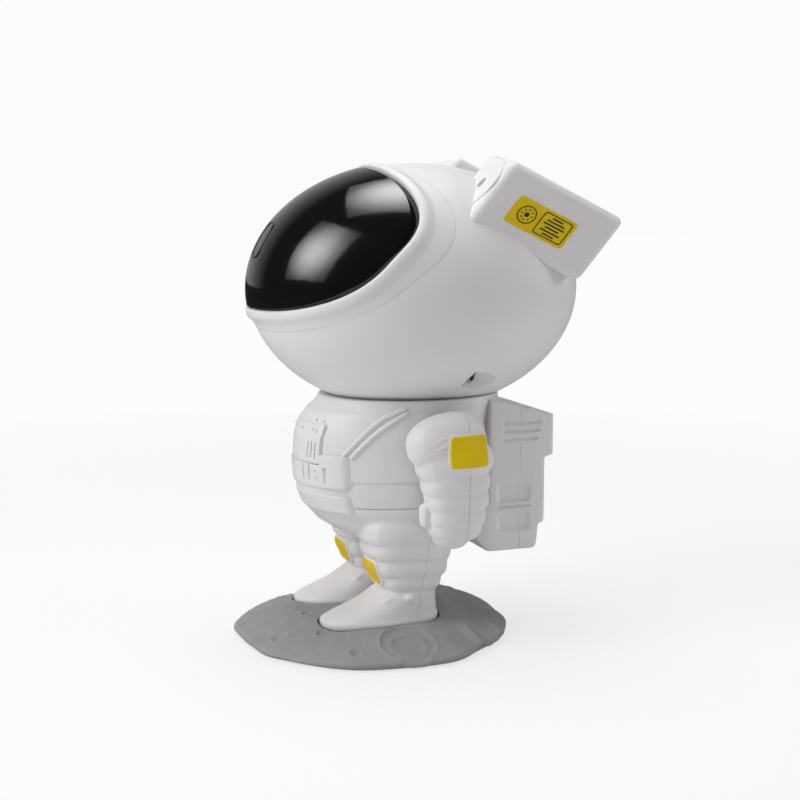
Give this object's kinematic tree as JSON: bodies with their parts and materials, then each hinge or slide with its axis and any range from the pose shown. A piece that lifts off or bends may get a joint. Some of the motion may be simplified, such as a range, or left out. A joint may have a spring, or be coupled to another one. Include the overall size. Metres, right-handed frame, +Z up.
{
  "type": "planetarium projector",
  "caption": "Table-top planetarium projector shaped as a spaceman on a moon rock, with a turning helmet that holds the projecting optics and arms that swing",
  "frame": {"origin": "centre of the base's underside, on the surface that it stands on", "axes": "+Z up; the figure looks along -Y and its left side is +X"},
  "size_m": [0.1261, 0.1625, 0.2143],
  "materials": {
    "moon_grey": "matte moulded plastic with a fine grain",
    "base_grey": "matte",
    "pad_rubber": "soft foam rubber",
    "steel": "plain",
    "white_shell": "fine matte moulded plastic",
    "yellow": "satin",
    "visor_black": "polished smoked plastic",
    "window_clear": "clear polished",
    "lens_clear": "polished",
    "frame_black": "black moulded",
    "board_green": "solder mask",
    "board_metal": "plain",
    "led_yellow": "phosphor",
    "brass": "turned",
    "motor_steel": "plated"
  },
  "bodies": {
    "stand": {"backpack_cover": "white_shell", "backpack_shell": "white_shell", "ballast_plate": "steel", "base_plate": "base_grey", "base_screws": "steel", "boot_screws": "steel", "left_knee_patch": "yellow", "moon_base": "moon_grey", "neck_bearing": "frame_black", "neck_magnet": "motor_steel", "non_slip_pad": "pad_rubber", "right_knee_patch": "yellow", "suit_front": "white_shell", "suit_rear": "white_shell"},
    "head": {"helmet_front": "white_shell", "helmet_rear": "white_shell", "visor": "visor_black", "visor_bezel": "white_shell", "laser_window": "window_clear", "left_lamp_box": "white_shell", "right_lamp_box": "white_shell", "left_lamp_disc": "white_shell", "right_lamp_disc": "white_shell", "optics_chassis": "frame_black", "lens_carrier": "frame_black", "lens_barrel": "frame_black", "projection_lens": "lens_clear", "laser_module": "brass", "laser_grating": "lens_clear", "led_board": "board_metal", "led": "led_yellow", "heat_sink": "board_metal", "gear_motor": "motor_steel", "disc_axle": "steel", "button_board": "board_green", "main_board": "board_green", "usb_socket": "motor_steel", "keeper_plate": "steel", "keeper_screws": "steel", "chassis_screws": "steel", "helmet_screws": "steel"},
    "left_arm": {"left_arm_front": "white_shell", "left_arm_patch": "yellow", "left_arm_rear": "white_shell", "left_shoulder_pin": "steel"},
    "right_arm": {"right_arm_front": "white_shell", "right_arm_patch": "yellow", "right_arm_rear": "white_shell", "right_shoulder_pin": "steel"},
    "power_button": {"power_button": "white_shell"},
    "nebula_button": {"nebula_button": "white_shell"},
    "star_button": {"star_button": "white_shell"},
    "disc": {"nebula_disc": "lens_clear"},
    "pinion": {"drive_pinion": "frame_black", "motor_shaft": "steel"}
  },
  "joints": [
    {"name": "head_turn", "type": "hinge", "parent": "stand", "child": "head", "pos_m": [0, 0.019, 0.111], "axis": [0, 0, 1], "continuous": true},
    {"name": "left_arm_swing", "type": "hinge", "parent": "stand", "child": "left_arm", "pos_m": [0.0386, 0.02087, 0.092], "axis": [-1, 0, 0], "range_deg": [-30, 100]},
    {"name": "right_arm_swing", "type": "hinge", "parent": "stand", "child": "right_arm", "pos_m": [-0.0386, 0.02087, 0.092], "axis": [-1, 0, 0], "range_deg": [-30, 100]},
    {"name": "power_button_press", "type": "slide", "parent": "head", "child": "power_button", "axis": [0, -1, 0], "range_m": [0, 0.0008], "stiffness_N_per_m": 1500},
    {"name": "nebula_button_press", "type": "slide", "parent": "head", "child": "nebula_button", "axis": [0, -1, 0], "range_m": [0, 0.0008], "stiffness_N_per_m": 1500},
    {"name": "star_button_press", "type": "slide", "parent": "head", "child": "star_button", "axis": [0, -1, 0], "range_m": [0, 0.0008], "stiffness_N_per_m": 1500},
    {"name": "disc_spin", "type": "hinge", "parent": "head", "child": "disc", "pos_m": [0, 0.0025, 0.16992], "axis": [0, -0.757, 0.6534], "continuous": true},
    {"name": "pinion_spin", "type": "hinge", "parent": "head", "child": "pinion", "pos_m": [0.02532, 0.0025, 0.16992], "axis": [0, -0.757, 0.6534], "continuous": true}
  ],
  "couplings": [
    {"joint": "pinion_spin", "follows": "disc_spin", "ratio": -6}
  ]
}
